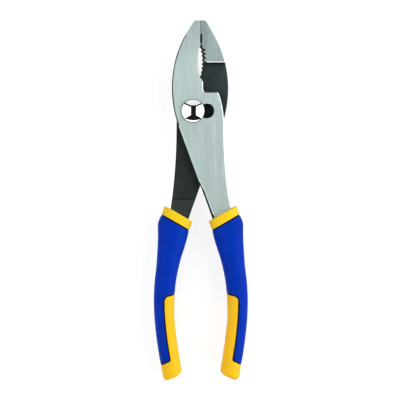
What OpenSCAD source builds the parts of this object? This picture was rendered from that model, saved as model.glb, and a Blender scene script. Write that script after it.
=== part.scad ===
// Slip joint pliers with two-colour cushion grips, lying on their back with the jaws closed.
// Millimetres. The origin is on the pivot axis at the table, +Y points to the jaws and +Z out of the front face.

/* [Jaws] */
// Distance from the pivot to the tips of the jaws
jaw_reach = 50.8; // [49:0.1:54]
// Half width of the head where it is widest
head_half_w = 15.9; // [15.5:0.1:17.5]
// Radius of the curved outer flank of each jaw
flank_r = 62.4; // [59:0.1:66]
// Distance from the pivot to the widest point of the head
flank_y = 12.8; // [11:0.1:14]
// Least width of each jaw at its tip
tip_w = 1.4; // [0.8:0.1:1.6]
// Radius of the outer corner of each tip
tip_r = 2; // [0.8:0.1:2.4]
// Thickness of the nose at its tip
tip_t = 8.2; // [7:0.1:10]
// Gap between the closed jaws
jaw_gap = 0.3; // [0.2:0.05:0.6]
// Distance from the pivot to the step where each jaw becomes full thickness
step_y = 27.2; // [25:0.1:30]
// Length of the flat nose with the fine teeth
nose_l = 7.7; // [6:0.1:9]
// Spacing of the fine teeth
fine_pitch = 1.35; // [1:0.05:2]
// Depth of the fine teeth
fine_depth = 0.5; // [0.3:0.05:0.8]
// Length of the relief between the nose and the pipe grip
relief_l = 4.6; // [3:0.1:5.6]
// Depth of the relief in each jaw
relief_d = 0.35; // [0.2:0.05:0.6]
// Length of the hollow pipe grip
pipe_l = 20.7; // [19:0.1:22]
// Depth of the hollow pipe grip in each jaw
pipe_sag = 1.8; // [1.2:0.1:2.4]
// Spacing of the coarse teeth
coarse_pitch = 2.3; // [1.8:0.05:2.5]
// Depth of the coarse teeth
coarse_depth = 0.8; // [0.6:0.05:1.3]
// Number of coarse teeth in each jaw
coarse_count = 8; // [5:1:8]

/* [Joint] */
// Thickness of each joint web
web_t = 5.2; // [4.6:0.1:5.6]
// Gap between the two webs
web_gap = 0.1; // [0.06:0.02:0.2]
// Distance from the centre line to the bolt with the jaws in the narrow setting
pivot_offset = 4.3; // [3.6:0.1:4.6]
// Travel of the bolt from one lobe of the slot to the other
slip_travel = 7.8; // [7:0.1:8.2]
// Diameter of the bolt's shank
shank_d = 8.1; // [7.6:0.1:8.6]
// Width of the shank across its two flats
flat_w = 5.4; // [4.8:0.1:6]
// Clearance all round the shank in the slot
slot_clear = 0.1; // [0.05:0.01:0.2]
// Clearance all round the shank in the drilled web
bore_clear = 0.05; // [0.03:0.01:0.15]
// Gap between the webs and the bolt's head and nut
face_clear = 0.05; // [0.03:0.01:0.1]
// Diameter of the bolt's head
bolt_head_d = 13.2; // [12:0.1:14]
// Height of the bolt's domed head
bolt_head_h = 3.3; // [2.6:0.1:4]
// Height of the straight rim under the dome
bolt_rim_h = 0.5; // [0.3:0.1:0.9]
// Diameter of the bolt's end inside the nut
stud_d = 6; // [5:0.1:6.6]
// Width of the nut across its flats
nut_af = 10; // [9:0.5:12]
// Thickness of the nut
nut_t = 3.2; // [2.6:0.1:3.2]
// Reach of the neck past the centre line, below the pipe grip
neck_x = 1.5; // [1:0.1:2.2]
// Radius of the inner corner between the neck and the shoulder
neck_r = 1.8; // [1:0.1:2.4]
// Distance from the pivot to the flat top of the shoulder
shoulder_y = 10.4; // [9.6:0.1:11.4]
// Radius of the shoulder's outer corner
shoulder_r = 1.5; // [0.8:0.1:2]
// Radius of the curved side below the shoulder
side_r = 56; // [50:0.5:64]
// Half width of the waist below the joint
waist_half_w = 13.2; // [12.8:0.1:13.8]
// Distance from the pivot down to the waist
waist_drop = 8; // [6:0.1:10]

/* [Tangs] */
// Lean of each tang's straight inner edge
tang_lean = 20; // [19.6:0.1:21.6]
// Radius of each tang's hollow outer edge
tang_arc = 320; // [280:1:380]
// Distance from the pivot to the start of the bend to the middle plane
bend_start = 53.4; // [53.2:0.1:54.4]
// Length of the bend to the middle plane
bend_l = 5; // [4:0.1:6.4]
// Thickness of each tang inside its grip
tang_t = 6; // [5:0.1:7]

/* [Grips] */
// Distance from the pivot to the middle of a grip's mouth
grip_top = 57.6; // [57:0.1:60]
// Length of a grip from the middle of its mouth to the middle of its end
grip_l = 92.2; // [86:0.1:110]
// Thickness of a grip at its belly
grip_t = 17; // [17:0.1:19]
// Width of a grip at its belly
grip_w = 11.7; // [11.5:0.1:13]
// Distance from the centre line to the middle of a grip at its belly
grip_spread = 20.6; // [20.4:0.1:22]
// Thickness of grip over the edges of the tang
grip_wall = 2.8; // [2.4:0.1:3.4]
// Clearance between the grip and the tang
grip_fit = 0.05; // [0.02:0.01:0.1]
// Radius of the rounded edge at the mouth
mouth_r = 0.8; // [0.5:0.1:1.4]
// Radius of the rounded edge at the end
end_r = 3; // [2:0.1:3.6]
// Height of the collar
collar_h = 4.9; // [3.6:0.1:6]
// Width of the sleeve beside the pad
strip_w = 5.9; // [5:0.1:6.8]
// Distance from the mouth to the top of the pad
pad_start = 47; // [40:0.5:56]
// Distance from the end to the edge where the end cap starts
cap_h = 9.7; // [8:0.1:12]
// Tilt of the pad's upper edge
pad_tilt = 15; // [0:1:25]
// Tilt of the edge where the end cap starts
cap_tilt = 27; // [15:1:32]
// Radius of the pad's upper corner
pad_r = 2.6; // [1:0.1:2.8]
// Radius of the sleeve's lower corner
strip_r = 1.4; // [0.6:0.1:2]
// Width of the groove where the sleeve meets its neighbours
groove_w = 0.6; // [0.3:0.1:1]
// Depth of the groove where the sleeve meets its neighbours
groove_d = 0.5; // [0.2:0.1:0.9]

/* [Hidden] */
$fn = 96;
z_mid = grip_t / 2;
split_z = web_gap / 2;
face_z = split_z + web_t;
jaw_x = -jaw_gap / 2;

// Arc of the left flank, and the point where the tang's inner edge leaves it
flank_c = [flank_r - head_half_w, flank_y];
heel = flank_c - flank_r * [cos(tang_lean), sin(tang_lean)];

// Hollow of the pipe grip
pipe_end = jaw_reach - nose_l - relief_l - pipe_l;
pipe_r = (pow(pipe_l / 2, 2) + pow(pipe_sag, 2)) / (2 * pipe_sag);
pipe_c = [jaw_x - pipe_sag + pipe_r, pipe_end + pipe_l / 2];
pipe_low = -asin(pipe_l / 2 / pipe_r);
coarse_step = coarse_pitch / pipe_r * 180 / PI;
fine_count = floor(nose_l / fine_pitch);
neck_low = pipe_end - 0.2;

// Arc of the side below the shoulder
side_c = [waist_half_w - side_r, -waist_drop];

// Corner arcs that touch a level edge and a large arc from inside
corner_lap = 0.02;
tip_c = inner_touch(flank_c, flank_r, jaw_reach, tip_r, -1);
shoulder_c = inner_touch(side_c, side_r, shoulder_y, shoulder_r, 1);

// Arc that thins the nose towards its tip, from just behind the widest point of the head
taper_lead = flank_y / 2;
taper_drop = face_z - tip_t / 2;
taper_l = jaw_reach - flank_y;
taper_r = (pow(taper_l + taper_lead, 2) - pow(taper_lead, 2)) / (2 * taper_drop);
taper_c = [flank_y - taper_lead, face_z - sqrt(pow(taper_r, 2) - pow(taper_lead, 2))];

// Bolt and nut heights
nut_top = z_mid - face_z - face_clear;
nut_low = nut_top - nut_t;
head_low = z_mid + face_z + face_clear;
dome_h = bolt_head_h - bolt_rim_h;
dome_r = (pow(bolt_head_d / 2, 2) + pow(dome_h, 2)) / (2 * dome_h);

// Stations along a grip, in shares of the grip's length, spread, width and thickness: place along the grip,
// distance from the centre line, width, lost thickness, and tilt in degrees
stations = [
  [0, 0.5995, 1.547, 0.0941, 30],
  [0.053, 0.6893, 1.53, 0.0588, 29.5],
  [0.105, 0.7646, 1.59, 0.0294, 29],
  [0.175, 0.8107, 1.419, 0.0118, 28.5],
  [0.25, 0.8641, 1.222, 0, 24.5],
  [0.335, 0.9175, 1.068, 0, 15],
  [0.42, 0.9709, 1.021, 0, 6.5],
  [0.52, 1, 1, 0, 0],
  [0.63, 0.9951, 0.9658, 0, -4.5],
  [0.745, 0.9466, 0.9573, 0, -7],
  [0.86, 0.8714, 0.9573, 0.0118, -11.5],
  [0.92, 0.8252, 0.9487, 0.0294, -16],
  [1, 0.7646, 0.9829, 0.0588, -24]
];
station_last = len(stations) - 1;
mouth_tilt = stations[0][4];
mouth_c = [stations[0][1] * grip_spread, -grip_top];
end_c = [stations[station_last][1] * grip_spread, -grip_top - grip_l];
ring_sides = 36;
ring_steps = 24;
squareness = 2.5;
tang_first = 0.11;
tang_last = 0.86;

bend_end = -bend_start - bend_l;

// Where the visible tang runs into the mouth of its grip, on its inner and outer edges
mouth_in_y = -grip_top - 0.8 * collar_h;
mouth_out_y = -grip_top + mouth_r / 2;

// Centre of an arc of radius r that touches the level line at y and, from inside, the arc about c
function inner_touch(c, arc_r, y, r, side) =
  [c.x + side * sqrt(pow(arc_r - r, 2) - pow(y - r - c.y, 2)), y - r];

// Tang edges at a height y below the pivot
function tang_in(y) = heel.x + (heel.y - y) * tan(tang_lean);
function tang_out(y) = waist_half_w + tang_arc - sqrt(pow(tang_arc, 2) - pow(y + waist_drop, 2));

// Smooth curve through the stations
function slope(i) =
  let (a = stations[max(i - 1, 0)], b = stations[min(i + 1, station_last)])
  (b - a) / (b[0] - a[0]);
function span(t, i = 0) = i >= station_last - 1 || t < stations[i + 1][0] ? i : span(t, i + 1);
function station(t) =
  let (
    i = span(t),
    a = stations[i],
    b = stations[i + 1],
    w = b[0] - a[0],
    u = (t - a[0]) / w
  )
  a * (1 + 2 * u) * pow(1 - u, 2) + b * (3 - 2 * u) * pow(u, 2)
  + slope(i) * w * u * pow(1 - u, 2) - slope(i + 1) * w * (1 - u) * pow(u, 2);

// Point of a grip's plan at share t of its length and distance p from the middle of its width
function grip_point(t, p) =
  let (s = station(t))
  [s[1] * grip_spread + p * cos(s[4]), -grip_top - t * grip_l + p * sin(s[4])];
function half_w(t) = station(t)[2] * grip_w / 2;
function half_t(t) = (1 - max(station(t)[3], 0)) * grip_t / 2;
function inner_edge(t, wall) = grip_point(t, wall - half_w(t));
function outer_edge(t, wall) = grip_point(t, half_w(t) - wall);

// Rounded cross-section of a grip, drawn in by an inset
function soft(v) = sign(v) * pow(abs(v), 2 / squareness);
function ring(t, inset) =
  [for (i = [0 : ring_sides - 1])
    let (
      a = 360 * i / ring_sides,
      p = grip_point(t, (half_w(t) - inset) * soft(cos(a)))
    )
    [p.x, p.y, (half_t(t) - inset) * soft(sin(a))]];
function ring_middle(t) = [grip_point(t, 0).x, grip_point(t, 0).y, 0];

// Shares and insets of the rings, with both ends rounded
mouth_rings = [for (a = [90 : -30 : 0]) [mouth_r * (1 - sin(a)) / grip_l, mouth_r * (1 - cos(a))]];
body_from = mouth_r / grip_l;
body_to = 1 - end_r / grip_l;
body_rings = [for (i = [1 : ring_steps - 1]) [body_from + (body_to - body_from) * i / ring_steps, 0]];
end_rings = [for (a = [0 : 18 : 90]) [1 - end_r * (1 - sin(a)) / grip_l, end_r * (1 - cos(a))]];
rings = concat(mouth_rings, body_rings, end_rings);
ring_last = len(rings) - 1;

// Wedge outside a corner arc, from straight up to the direction of the large arc's centre
module corner_wedge(c, arc_c, r, side) {
  out = (c - arc_c) / norm(c - arc_c);
  polygon([c, c + 3 * r * out, c + 5 * r * [side, 1], c + [0, 3 * r]]);
}

// Round of a corner, a little proud so that it crosses its neighbours, and cut off level with the top
module corner_round(c, r) {
  translate(c)
    intersection() {
      circle(r = r + corner_lap);
      translate([-2 * r, -2 * r])
        square([4 * r, 3 * r]);
    }
}

// Left jaw in plan, with its teeth
module jaw_plan() {
  difference() {
    intersection() {
      translate([-2 * head_half_w, 0])
        square([2 * head_half_w + jaw_x, jaw_reach]);
      jaw_outline();
    }
    translate([jaw_x - relief_d, jaw_reach - nose_l - relief_l - relief_d])
      square([head_half_w, relief_l + relief_d]);
    translate(pipe_c)
      circle(r = pipe_r, $fn = 360);
    coarse_cuts();
    fine_cuts();
  }
}

// Flank with the rounded corner of the tip, and the least width of the tip
module jaw_outline() {
  intersection() {
    flank_disc();
    union() {
      difference() {
        translate([-2 * head_half_w, 0])
          square([4 * head_half_w, 2 * jaw_reach]);
        corner_wedge(tip_c, flank_c, tip_r, -1);
      }
      corner_round(tip_c, tip_r);
    }
  }
  translate([jaw_x - tip_w, flank_y])
    square([head_half_w, jaw_reach]);
}

module flank_disc() {
  translate(flank_c)
    circle(r = flank_r, $fn = 360);
}

// Slanted grooves between the coarse teeth of the pipe grip
module coarse_cuts() {
  lift = 0.4;
  half = 0.46 * coarse_pitch * (coarse_depth + lift) / coarse_depth;
  for (i = [0 : coarse_count - 1])
    translate(pipe_c)
      rotate(180 - pipe_low - (i + 0.6) * coarse_step)
      translate([pipe_r, 0])
      polygon([[-lift, -half], [coarse_depth, 0.25 * coarse_pitch], [-lift, half]]);
}

// Grooves between the fine teeth of the nose
module fine_cuts() {
  lift = 0.2;
  half = 0.46 * fine_pitch * (fine_depth + lift) / fine_depth;
  for (i = [0 : fine_count - 1])
    translate([jaw_x, jaw_reach - nose_l + (i + 0.5) * fine_pitch])
      polygon([[lift, -half], [lift, half], [-fine_depth, 0]]);
}

// Joint web in plan: neck, inner corner and shoulder
module web_plan() {
  difference() {
    intersection() {
      translate(side_c)
        circle(r = side_r, $fn = 360);
      translate([-2 * head_half_w, heel.y - 2])
        square([4 * head_half_w, shoulder_y - heel.y + 2]);
    }
    corner_wedge(shoulder_c, side_c, shoulder_r, 1);
  }
  intersection() {
    translate(side_c)
      circle(r = side_r, $fn = 360);
    corner_round(shoulder_c, shoulder_r);
  }
  polygon([
    [-2 * head_half_w, 0], [neck_x, 0], [neck_x, neck_low - 0.8 * (neck_x - jaw_x)],
    [jaw_x - 0.5, neck_low + 0.4], [-2 * head_half_w, neck_low + 0.4]
  ]);
  difference() {
    translate([neck_x - 1, shoulder_y - 1])
      square(neck_r + 1);
    translate([neck_x + neck_r, shoulder_y + neck_r])
      circle(r = neck_r);
  }
}

// Tang in plan, from the waist to its end inside the grip
module tang_plan() {
  shares = [for (i = [0 : 8]) tang_first + (tang_last - tang_first) * i / 8];
  far = tang_out(mouth_out_y);
  difference() {
    polygon(concat(
      [[0, heel.y + waist_drop / 2], heel, [tang_in(mouth_in_y), mouth_in_y]],
      [for (t = shares) inner_edge(t, grip_wall)],
      [for (i = [len(shares) - 1 : -1 : 0]) outer_edge(shares[i], grip_wall)],
      [[far + mouth_r, mouth_out_y], [far + waist_half_w, mouth_out_y + waist_drop]],
      [[far + waist_half_w, -waist_drop], [waist_half_w, -waist_drop]]
    ));
    intersection() {
      translate([waist_half_w + tang_arc, -waist_drop])
        circle(r = tang_arc, $fn = 720);
      translate([0, mouth_out_y])
        square([2 * waist_half_w + far, -mouth_out_y]);
    }
  }
}

// Whole half in plan, measured from the centre line
module half_plan() {
  jaw_plan();
  intersection() {
    flank_disc();
    web_plan();
  }
  tang_plan();
}

// Side view of a tang: level with its web at first, then bent to the middle plane
module tang_side() {
  polygon([
    [0, face_z], [-bend_start, face_z], [bend_end, tang_t / 2], [end_c.y, tang_t / 2],
    [end_c.y, -tang_t / 2], [bend_end, -tang_t / 2], [-bend_start, split_z], [0, split_z]
  ]);
}

// What the blank loses in side view: behind the web and tang, in front of the bent tang, and on the nose's faces
module back_cut() {
  polygon([
    [step_y, -face_z - 1], [step_y, split_z], [-bend_start, split_z],
    [bend_end, -tang_t / 2], [end_c.y, -tang_t / 2], [end_c.y, -face_z - 1]
  ]);
}

module front_cut() {
  polygon([
    [-bend_start, face_z], [bend_end, tang_t / 2], [end_c.y, tang_t / 2],
    [end_c.y, face_z + 1], [-bend_start, face_z + 1]
  ]);
}

module nose_cut() {
  difference() {
    translate([flank_y, 0])
      square([taper_l + 2, face_z + 1]);
    translate(taper_c)
      circle(r = taper_r, $fn = 720);
  }
}

// Stretches a side view across the whole width
module across() {
  rotate([90, 0, 90])
    translate([0, 0, -2 * head_half_w])
    linear_extrude(4 * head_half_w)
    children();
}

// Blank of one half about the centre line and the middle plane, before the joint is cut
module half_blank() {
  difference() {
    translate([0, 0, -face_z])
      linear_extrude(2 * face_z)
      half_plan();
    across()
      back_cut();
    across()
      front_cut();
    across()
      nose_cut();
    mirror([0, 0, 1])
      across()
      nose_cut();
  }
}

// Moves what is drawn about the centre line and the middle plane to its place
module placed() {
  translate([pivot_offset, 0, z_mid])
    children();
}

module front_half() {
  color([0.72, 0.79, 0.78])
    placed()
    difference() {
      half_blank();
      for (x = [-pivot_offset, slip_travel - pivot_offset])
        translate([x, 0, -1])
          cylinder(d = shank_d + 2 * slot_clear, h = face_z + 2);
      translate([-pivot_offset, -flat_w / 2 - slot_clear, -1])
        cube([slip_travel, flat_w + 2 * slot_clear, face_z + 2]);
    }
}

module rear_half() {
  color([0.2, 0.23, 0.23])
    placed()
    rotate([0, 180, 0])
    difference() {
      half_blank();
      translate([pivot_offset, 0, -1])
        cylinder(d = shank_d + 2 * bore_clear, h = face_z + 2);
    }
}

module pivot_bolt() {
  color([0.9, 0.92, 0.92]) {
    translate([0, 0, head_low])
      rotate_extrude()
      intersection() {
        square([bolt_head_d / 2, bolt_head_h]);
        translate([0, bolt_head_h - dome_r])
          circle(r = dome_r, $fn = 180);
      }
    translate([0, 0, z_mid - 0.5])
      intersection() {
        cylinder(d = shank_d, h = head_low - z_mid + 1);
        translate([-shank_d, -flat_w / 2, 0])
          cube([2 * shank_d, flat_w, head_low - z_mid + 1]);
      }
    translate([0, 0, nut_top])
      cylinder(d = shank_d, h = z_mid - nut_top);
    translate([0, 0, nut_low])
      cylinder(d = stud_d, h = nut_t + 0.5);
  }
}

module pivot_nut() {
  corner_d = nut_af / cos(30);
  color([0.45, 0.49, 0.49])
    translate([0, 0, nut_low])
    difference() {
      intersection() {
        cylinder(d = corner_d, h = nut_t, $fn = 6);
        cylinder(d1 = nut_af - 0.4, d2 = nut_af - 0.4 + 4 * nut_t, h = nut_t);
      }
      translate([0, 0, -1])
        cylinder(d = stud_d + 2 * bore_clear, h = nut_t + 2);
    }
}

// Solid grip about the centre line and the middle plane, drawn in by an inset. Each link runs from one ring to the
// next, and its pointed ends reach into the links beside it.
module grip_solid(inset) {
  top = ring_sides - 1;
  for (k = [0 : ring_last - 1]) {
    low = rings[k];
    high = rings[k + 1];
    before = (rings[max(k - 1, 0)][0] + low[0]) / 2;
    after = (rings[min(k + 2, ring_last)][0] + high[0]) / 2;
    hull()
      polyhedron(
        points = concat(
          ring(low[0], low[1] + inset),
          ring(high[0], high[1] + inset),
          [ring_middle(before), ring_middle(after)]
        ),
        faces = concat(
          [for (i = [0 : top]) [2 * ring_sides, i, (i + 1) % ring_sides]],
          [for (i = [0 : top]) [2 * ring_sides + 1, (i + 1) % ring_sides + ring_sides, i + ring_sides]],
          [for (i = [0 : top]) [i, i + ring_sides, (i + 1) % ring_sides + ring_sides, (i + 1) % ring_sides]]
        )
      );
  }
}

// Everything above the lower edge of the collar
module collar_zone(drop) {
  translate([mouth_c.x, mouth_c.y, -grip_t])
    rotate(mouth_tilt)
    translate([-grip_top, -collar_h - drop, 0])
    cube([2 * grip_top, grip_top, 2 * grip_t]);
}

// Plan of the pad and the end cap that it runs into
module pad_plan() {
  from = pad_start / grip_l;
  to = 1 - cap_h / grip_l;
  border = [for (i = [0 : 12]) outer_edge(from + (to - from) * i / 12, strip_w)];
  top_in = border[0] - 3 * strip_w * [cos(pad_tilt), -sin(pad_tilt)];
  cap_out = border[12] + 3 * strip_w * [cos(cap_tilt), -sin(cap_tilt)];
  low = [0, -2 * grip_wall - end_r];
  offset(r = -strip_r)
    offset(r = strip_r + pad_r)
    offset(delta = -pad_r)
    polygon(concat(
      [top_in], border, [cap_out, cap_out + low, end_c + 4 * low, [0, end_c.y]], [[0, top_in.y]]
    ));
}

module pad_zone(spread) {
  translate([0, 0, -grip_t])
    linear_extrude(2 * grip_t)
    offset(delta = spread)
    pad_plan();
}

// Room for the tang inside the grip
module tang_room() {
  intersection() {
    translate([0, 0, -grip_t])
      linear_extrude(2 * grip_t)
      offset(delta = grip_fit)
      tang_plan();
    across()
      offset(delta = grip_fit)
      tang_side();
  }
}

module collar_shape() {
  difference() {
    intersection() {
      grip_solid(0);
      collar_zone(0);
    }
    tang_room();
  }
}

module sleeve_shape() {
  difference() {
    grip_solid(0);
    collar_zone(0);
    pad_zone(0);
    tang_room();
    difference() {
      union() {
        collar_zone(groove_w);
        pad_zone(groove_w);
      }
      grip_solid(groove_d);
    }
  }
}

module pad_shape() {
  difference() {
    intersection() {
      grip_solid(0);
      pad_zone(0);
    }
    tang_room();
  }
}

module right_collar() {
  color([0.98, 0.82, 0.15])
    placed()
    collar_shape();
}

module right_sleeve() {
  color([0.05, 0.2, 0.65])
    placed()
    sleeve_shape();
}

module right_pad() {
  color([0.98, 0.82, 0.15])
    placed()
    pad_shape();
}

module left_collar() {
  color([0.98, 0.82, 0.15])
    placed()
    rotate([0, 180, 0])
    collar_shape();
}

module left_sleeve() {
  color([0.05, 0.2, 0.65])
    placed()
    rotate([0, 180, 0])
    sleeve_shape();
}

module left_pad() {
  color([0.98, 0.82, 0.15])
    placed()
    rotate([0, 180, 0])
    pad_shape();
}

front_half();
rear_half();
pivot_bolt();
pivot_nut();
right_collar();
right_sleeve();
right_pad();
left_collar();
left_sleeve();
left_pad();
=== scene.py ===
import bmesh
import bpy
import math
from mathutils import Matrix, Vector


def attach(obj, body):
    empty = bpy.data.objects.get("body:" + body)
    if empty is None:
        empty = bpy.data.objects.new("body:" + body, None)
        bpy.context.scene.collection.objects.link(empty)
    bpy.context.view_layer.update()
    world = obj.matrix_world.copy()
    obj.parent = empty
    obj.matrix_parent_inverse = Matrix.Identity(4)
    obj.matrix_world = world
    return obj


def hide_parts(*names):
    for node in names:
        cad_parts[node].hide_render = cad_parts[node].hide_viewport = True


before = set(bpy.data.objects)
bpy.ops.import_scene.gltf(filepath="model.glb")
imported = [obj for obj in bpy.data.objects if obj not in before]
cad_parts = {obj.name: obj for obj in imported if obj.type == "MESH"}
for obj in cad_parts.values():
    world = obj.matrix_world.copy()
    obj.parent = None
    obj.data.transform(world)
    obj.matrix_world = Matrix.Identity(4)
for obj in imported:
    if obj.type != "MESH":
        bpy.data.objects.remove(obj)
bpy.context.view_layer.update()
scene = bpy.context.scene
mm = 0.001
mergeGap, cutGap = 0.002 * mm, 0.001 * mm  # reach of a merge and of a plane cut
flatAngle = 0.4  # degrees between faces that count as one
broadWeight = 80  # how far the broad faces set the shading at an edge
middleX, middleZ = 4.3, 8.5  # centre line and middle plane of the pliers, in mm


def tone(red, green, blue):
    # a screen colour of 0 to 255, made linear
    parts = [v / 255 for v in (red, green, blue)]
    return tuple(v / 12.92 if v < 0.04045 else ((v + 0.055) / 1.055) ** 2.4 for v in parts) + (1,)


def newPiece(name, bm):
    mesh = bpy.data.meshes.new(name)
    bm.to_mesh(mesh)
    bm.free()
    piece = bpy.data.objects.new(name, mesh)
    scene.collection.objects.link(piece)
    return piece


def mergedCopy(node):
    # a node's mesh is loose triangles, so its copy is merged first
    bm = bmesh.new()
    bm.from_mesh(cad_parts[node].data)
    bmesh.ops.remove_doubles(bm, verts=bm.verts[:], dist=mergeGap)
    return bm


def joinFlatFaces(bm):
    angle = math.radians(flatAngle)
    bmesh.ops.dissolve_limit(bm, angle_limit=angle, verts=bm.verts[:], edges=bm.edges[:])


def sharpEdges(bm, angle):
    limit = math.radians(angle)
    return [e for e in bm.edges if len(e.link_faces) == 2 and e.calc_face_angle() > limit]


def bevelEdges(bm, edges, width, segments, clamp):
    bmesh.ops.bevel(
        bm, geom=edges, offset=width * mm, affect="EDGES", segments=segments,
        profile=0.5, material=-1, clamp_overlap=clamp,
    )


def withCorners(faces):
    # faces with their edges and corners, each once and always in the same order
    return list(dict.fromkeys(g for f in faces for g in [f, *f.edges, *f.verts]))


def cutAcross(bm, faces, y):
    # parts some faces along a line square to Y
    level = Vector((0, y, 0)) * mm
    bmesh.ops.bisect_plane(bm, geom=withCorners(faces), dist=cutGap, plane_co=level, plane_no=(0, 1, 0))


def inOrder(piece):
    # gives the points and faces of a mesh the same order in every run
    mesh = piece.data
    spots = sorted(range(len(mesh.vertices)), key=lambda i: tuple(mesh.vertices[i].co))
    place = {old: new for new, old in enumerate(spots)}
    faces = []
    for face in mesh.polygons:
        corners = [place[i] for i in face.vertices]
        start = corners.index(min(corners))
        faces.append((corners[start:] + corners[:start], face.material_index))
    faces.sort()
    ordered = bpy.data.meshes.new(piece.name)
    ordered.from_pydata([mesh.vertices[i].co for i in spots], [], [corners for corners, _ in faces])
    for finish in mesh.materials:
        ordered.materials.append(finish)
    for face, (_, finish) in zip(ordered.polygons, faces):
        face.material_index = finish
    piece.data = ordered


def smoothPiece(piece, sharpAngle):
    bm = bmesh.new()
    bm.from_mesh(piece.data)
    bm.normal_update()
    for face in bm.faces:
        face.smooth = True
    for edge in bm.edges:
        edge.smooth = True
    for edge in sharpEdges(bm, sharpAngle):
        edge.smooth = False
    bm.to_mesh(piece.data)
    bm.free()
    flat = piece.modifiers.new("flatFaces", "WEIGHTED_NORMAL")
    flat.keep_sharp = True
    flat.weight = broadWeight


def dressPiece(piece, body, node):
    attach(piece, body)
    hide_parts(node)


# Shader groups that several finishes share

def newGroup(name, inputs, outputs, outputKind="NodeSocketFloat"):
    group = bpy.data.node_groups.new(name, "ShaderNodeTree")
    for label, kind in inputs:
        group.interface.new_socket(label, in_out="INPUT", socket_type=kind)
    for label in outputs:
        group.interface.new_socket(label, in_out="OUTPUT", socket_type=outputKind)
    return group, group.nodes.new("NodeGroupInput"), group.nodes.new("NodeGroupOutput")


def makeBrushLines():
    # fine scratches along Y, and broad soft bands in the same direction
    group, given, result = newGroup(
        "brushLines",
        [("Vector", "NodeSocketVector"), ("Across", "NodeSocketFloat"), ("Along", "NodeSocketFloat")],
        ["Lines", "Bands"],
    )
    stretch = group.nodes.new("ShaderNodeCombineXYZ")
    group.links.new(given.outputs["Across"], stretch.inputs["X"])
    group.links.new(given.outputs["Along"], stretch.inputs["Y"])
    group.links.new(given.outputs["Across"], stretch.inputs["Z"])
    place = group.nodes.new("ShaderNodeVectorMath")
    place.operation = "MULTIPLY"
    group.links.new(given.outputs["Vector"], place.inputs[0])
    group.links.new(stretch.outputs[0], place.inputs[1])
    for label, scale, detail in (("Lines", 1.0, 5), ("Bands", 0.12, 2)):
        noise = group.nodes.new("ShaderNodeTexNoise")
        noise.inputs["Scale"].default_value = scale
        noise.inputs["Detail"].default_value = detail
        noise.inputs["Roughness"].default_value = 0.65
        group.links.new(place.outputs[0], noise.inputs["Vector"])
        group.links.new(noise.outputs["Fac"], result.inputs[label])
    return group


def makeFineGrain():
    # small pits and wide cloudy patches for moulded and blackened surfaces
    group, given, result = newGroup(
        "fineGrain",
        [("Vector", "NodeSocketVector"), ("Size", "NodeSocketFloat")],
        ["Pits", "Clouds"],
    )
    for label, share, detail in (("Pits", 1.0, 3), ("Clouds", 0.05, 4)):
        scale = group.nodes.new("ShaderNodeMath")
        scale.operation = "MULTIPLY"
        scale.inputs[1].default_value = share
        group.links.new(given.outputs["Size"], scale.inputs[0])
        noise = group.nodes.new("ShaderNodeTexNoise")
        noise.inputs["Detail"].default_value = detail
        group.links.new(given.outputs["Vector"], noise.inputs["Vector"])
        group.links.new(scale.outputs[0], noise.inputs["Scale"])
        group.links.new(noise.outputs["Fac"], result.inputs[label])
    return group


def makeSoftFade():
    # multiplies a colour by a level that sets in between two places along Y
    group, given, result = newGroup(
        "softFade",
        [("Vector", "NodeSocketVector"), ("Colour", "NodeSocketColor"), ("From", "NodeSocketFloat"),
         ("To", "NodeSocketFloat"), ("Level", "NodeSocketFloat")],
        ["Colour"], "NodeSocketColor",
    )
    axes = group.nodes.new("ShaderNodeSeparateXYZ")
    group.links.new(given.outputs["Vector"], axes.inputs[0])
    span = group.nodes.new("ShaderNodeMapRange")
    span.interpolation_type = "SMOOTHSTEP"
    span.inputs["To Min"].default_value = 1
    group.links.new(axes.outputs["Y"], span.inputs["Value"])
    for socket, label in (("From Min", "From"), ("From Max", "To"), ("To Max", "Level")):
        group.links.new(given.outputs[label], span.inputs[socket])
    shade = group.nodes.new("ShaderNodeVectorMath")
    shade.operation = "SCALE"
    group.links.new(given.outputs["Colour"], shade.inputs[0])
    group.links.new(span.outputs["Result"], shade.inputs["Scale"])
    group.links.new(shade.outputs[0], result.inputs["Colour"])
    return group


brushLines = makeBrushLines()
fineGrain = makeFineGrain()
softFade = makeSoftFade()


def newFinish(name):
    material = bpy.data.materials.new(name)
    material.use_nodes = True
    tree = material.node_tree
    shader = tree.nodes["Principled BSDF"]
    place = tree.nodes.new("ShaderNodeTexCoord")
    return material, tree, shader, place.outputs["Object"]


def mixTones(tree, factor, first, second):
    mix = tree.nodes.new("ShaderNodeMix")
    mix.data_type = "RGBA"
    mix.inputs["A"].default_value = first
    mix.inputs["B"].default_value = second
    tree.links.new(factor, mix.inputs["Factor"])
    return mix.outputs["Result"]


def mapValue(tree, value, low, high):
    # most of a noise lies between 0.3 and 0.7
    span = tree.nodes.new("ShaderNodeMapRange")
    span.inputs["From Min"].default_value = 0.3
    span.inputs["From Max"].default_value = 0.7
    span.inputs["To Min"].default_value = low
    span.inputs["To Max"].default_value = high
    tree.links.new(value, span.inputs["Value"])
    return span.outputs["Result"]


def addBump(tree, shader, height, look):
    bump = tree.nodes.new("ShaderNodeBump")
    bump.inputs["Strength"].default_value = look["bump"]
    bump.inputs["Distance"].default_value = look["depth"]
    tree.links.new(height, bump.inputs["Height"])
    tree.links.new(bump.outputs["Normal"], shader.inputs["Normal"])


def fadeAlong(tree, place, colour, fades):
    for start, stop, level in fades:
        fade = tree.nodes.new("ShaderNodeGroup")
        fade.node_tree = softFade
        fade.inputs["From"].default_value = start * mm
        fade.inputs["To"].default_value = stop * mm
        fade.inputs["Level"].default_value = level
        tree.links.new(place, fade.inputs["Vector"])
        tree.links.new(colour, fade.inputs["Colour"])
        colour = fade.outputs["Colour"]
    return colour


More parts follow.
